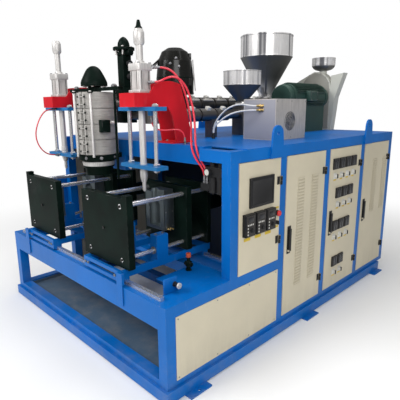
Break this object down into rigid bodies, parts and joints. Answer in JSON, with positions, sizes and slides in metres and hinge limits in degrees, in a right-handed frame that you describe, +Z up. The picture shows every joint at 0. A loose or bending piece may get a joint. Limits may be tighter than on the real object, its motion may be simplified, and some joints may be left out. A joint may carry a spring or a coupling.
{
  "type": "extrusion blow moulding machine",
  "caption": "Two-station extrusion blow moulding machine with shuttle clamps, die head, blow pins, hoppers and a side cabinet with hinged doors.",
  "frame": {"origin": "centre of the four anchor holes, on the floor", "axes": "+Z up, +X towards the control doors, -Y towards the clamp end"},
  "size_m": [2.29, 3.146, 2.471],
  "materials": {
    "blue_paint": "machine blue enamel",
    "slate": "dark tray paint",
    "cream_paint": "cream powder coat",
    "hinge_black": "black fittings",
    "polished_steel": "ground and chromed bar",
    "fitting_metal": "dark plated fittings",
    "black_steel": "blackened plate",
    "mould_steel": "machined mould block",
    "red_paint": "red enamel",
    "cage_blue": "blue plate",
    "cylinder_alloy": "bright alloy",
    "head_steel": "heater bands",
    "hopper_steel": "bright sheet steel",
    "screw_steel": "turned steel",
    "gear_grey": "gearbox paint",
    "motor_green": "dark green motor paint",
    "guard_cream": "pale guard paint",
    "cooler_steel": "stainless case",
    "fan_plastic": "fan moulding",
    "button_red": "red push button",
    "red_hose": "red air hose",
    "white_hose": "pale conduit"
  },
  "bodies": {
    "frame": {"base_frame": "blue_paint", "bed_frame": "blue_paint", "drip_tray": "slate", "cabinet_frame": "blue_paint", "deck_plate": "blue_paint", "fixed_panels": "cream_paint", "door_hinges": "hinge_black", "linear_rails": "polished_steel", "bed_fittings": "fitting_metal", "air_unit": "hinge_black", "swan_brackets": "red_paint", "cage_plates": "cage_blue", "guide_rods": "polished_steel", "blow_cylinders": "cylinder_alloy", "die_head": "head_steel", "die_flange": "black_steel", "die_cap": "black_steel", "main_barrel": "black_steel", "main_hopper": "hopper_steel", "main_gearbox": "gear_grey", "drive_motor": "motor_green", "belt_guard": "guard_cream", "side_barrel": "black_steel", "small_hoppers": "hopper_steel", "feed_tower": "black_steel", "domed_drum": "hinge_black", "cooling_unit": "cooler_steel", "air_hose_arm": "red_hose", "air_hose_cage": "red_hose", "air_hose_cap": "red_hose", "air_hose_left": "red_hose", "cooler_conduit": "white_hose"},
    "shuttle_right": {"carriage_right": "blue_paint"},
    "clamp_front_right": {"front_platen_right": "black_steel", "tie_bars_right": "polished_steel", "end_plate_right": "black_steel", "front_mould_right": "mould_steel"},
    "clamp_rear_right": {"rear_platen_right": "black_steel", "rear_mould_right": "mould_steel"},
    "blow_right": {"blow_pin_right": "cylinder_alloy"},
    "shuttle_left": {"carriage_left": "blue_paint"},
    "clamp_front_left": {"front_platen_left": "black_steel", "tie_bars_left": "polished_steel", "end_plate_left": "black_steel", "front_mould_left": "mould_steel"},
    "clamp_rear_left": {"rear_platen_left": "black_steel", "rear_mould_left": "mould_steel"},
    "blow_left": {"blow_pin_left": "cylinder_alloy"},
    "door_control": {"control_door": "cream_paint", "panel_instruments": "hinge_black"},
    "stop_button": {"estop_button": "button_red"},
    "door_louvre": {"louvre_door": "cream_paint"},
    "door_controller": {"controller_door": "cream_paint", "temperature_controllers": "hinge_black"},
    "door_rear": {"rear_door": "cream_paint"},
    "lever_louvre": {"louvre_handle": "hinge_black"},
    "lever_controller": {"controller_handle": "hinge_black"},
    "lever_rear": {"rear_handle": "hinge_black"},
    "screw": {"main_screw": "screw_steel"},
    "fan": {"cooling_fan": "fan_plastic"}
  },
  "joints": [
    {"name": "shuttle_right_slide", "type": "slide", "parent": "frame", "child": "shuttle_right", "axis": [1, 0, 0], "range_m": [-0.375, 0]},
    {"name": "clamp_right_slide", "type": "slide", "parent": "shuttle_right", "child": "clamp_front_right", "axis": [0, 1, 0], "range_m": [0, 0.202]},
    {"name": "clamp_right_rear_slide", "type": "slide", "parent": "shuttle_right", "child": "clamp_rear_right", "axis": [0, 1, 0], "range_m": [-0.085, 0]},
    {"name": "blow_right_slide", "type": "slide", "parent": "frame", "child": "blow_right", "axis": [0, 0, 1], "range_m": [-0.052, 0.052]},
    {"name": "shuttle_left_slide", "type": "slide", "parent": "frame", "child": "shuttle_left", "axis": [1, 0, 0], "range_m": [-0.225, 0.34]},
    {"name": "clamp_left_slide", "type": "slide", "parent": "shuttle_left", "child": "clamp_front_left", "axis": [0, 1, 0], "range_m": [0, 0.202]},
    {"name": "clamp_left_rear_slide", "type": "slide", "parent": "shuttle_left", "child": "clamp_rear_left", "axis": [0, 1, 0], "range_m": [-0.085, 0]},
    {"name": "blow_left_slide", "type": "slide", "parent": "frame", "child": "blow_left", "axis": [0, 0, 1], "range_m": [-0.052, 0.052]},
    {"name": "door_control_hinge", "type": "hinge", "parent": "frame", "child": "door_control", "pos_m": [1.088, -0.451, 0.7], "axis": [0, 0, 1], "range_deg": [0, 100]},
    {"name": "door_louvre_hinge", "type": "hinge", "parent": "frame", "child": "door_louvre", "pos_m": [1.088, 0.177, 0.7], "axis": [0, 0, 1], "range_deg": [0, 100]},
    {"name": "door_controller_hinge", "type": "hinge", "parent": "frame", "child": "door_controller", "pos_m": [1.088, 0.821, 0.7], "axis": [0, 0, 1], "range_deg": [0, 100]},
    {"name": "door_rear_hinge", "type": "hinge", "parent": "frame", "child": "door_rear", "pos_m": [1.088, 1.447, 0.7], "axis": [0, 0, 1], "range_deg": [0, 100]},
    {"name": "lever_louvre_hinge", "type": "hinge", "parent": "door_louvre", "child": "lever_louvre", "pos_m": [1.089, -0.315, 0.655], "axis": [0, 1, 0], "range_deg": [0, 70]},
    {"name": "lever_controller_hinge", "type": "hinge", "parent": "door_controller", "child": "lever_controller", "pos_m": [1.089, 0.313, 0.655], "axis": [0, 1, 0], "range_deg": [0, 70]},
    {"name": "lever_rear_hinge", "type": "hinge", "parent": "door_rear", "child": "lever_rear", "pos_m": [1.089, 0.957, 0.655], "axis": [0, 1, 0], "range_deg": [0, 70]},
    {"name": "stop_button_slide", "type": "slide", "parent": "door_control", "child": "stop_button", "axis": [1, 0, 0], "range_m": [-0.006, 0], "stiffness_N_per_m": 800},
    {"name": "screw_spin", "type": "hinge", "parent": "frame", "child": "screw", "pos_m": [-0.19, 0.2, 1.735], "axis": [0, 1, 0], "continuous": true},
    {"name": "fan_spin", "type": "hinge", "parent": "frame", "child": "fan", "pos_m": [0.79, 0.028, 1.602], "axis": [1, 0, 0], "continuous": true}
  ],
  "couplings": [
    {"joint": "clamp_right_rear_slide", "follows": "clamp_right_slide", "ratio": -0.42},
    {"joint": "clamp_left_rear_slide", "follows": "clamp_left_slide", "ratio": -0.42}
  ]
}
